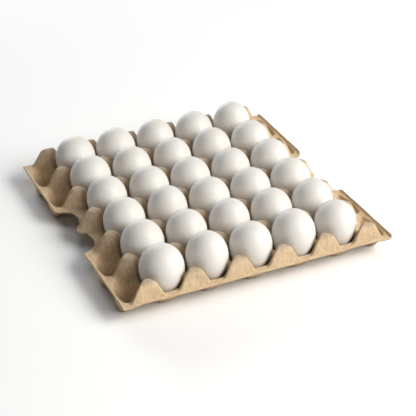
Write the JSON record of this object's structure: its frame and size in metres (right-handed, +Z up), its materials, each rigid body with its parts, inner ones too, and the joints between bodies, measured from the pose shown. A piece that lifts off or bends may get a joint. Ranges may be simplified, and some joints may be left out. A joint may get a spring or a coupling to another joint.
{
  "type": "egg carton with eggs",
  "caption": "Open moulded-pulp egg carton: cups with hollow corner posts, a flat rim, half cups in the side margins and finger notches, filled with white eggs.",
  "frame": {"origin": "on the ground, under the middle of the carton", "axes": "+Z up; +Y along the rows of six eggs, away from the viewer; +X along the rows of five, to the viewer's right"},
  "size_m": [0.2872, 0.2936, 0.0589],
  "materials": {
    "pulp": "matt moulded pulp, light brown with darker fibres",
    "eggshell": "white eggshell, smooth and almost matt"
  },
  "bodies": {
    "root": {"tray": "pulp", "egg_r1_c1": "eggshell", "egg_r1_c2": "eggshell", "egg_r1_c3": "eggshell", "egg_r1_c4": "eggshell", "egg_r1_c5": "eggshell", "egg_r2_c1": "eggshell", "egg_r2_c2": "eggshell", "egg_r2_c3": "eggshell", "egg_r2_c4": "eggshell", "egg_r2_c5": "eggshell", "egg_r3_c1": "eggshell", "egg_r3_c2": "eggshell", "egg_r3_c3": "eggshell", "egg_r3_c4": "eggshell", "egg_r3_c5": "eggshell", "egg_r4_c1": "eggshell", "egg_r4_c2": "eggshell", "egg_r4_c3": "eggshell", "egg_r4_c4": "eggshell", "egg_r4_c5": "eggshell", "egg_r5_c1": "eggshell", "egg_r5_c2": "eggshell", "egg_r5_c3": "eggshell", "egg_r5_c4": "eggshell", "egg_r5_c5": "eggshell", "egg_r6_c1": "eggshell", "egg_r6_c2": "eggshell", "egg_r6_c3": "eggshell", "egg_r6_c4": "eggshell", "egg_r6_c5": "eggshell"}
  },
  "joints": []
}
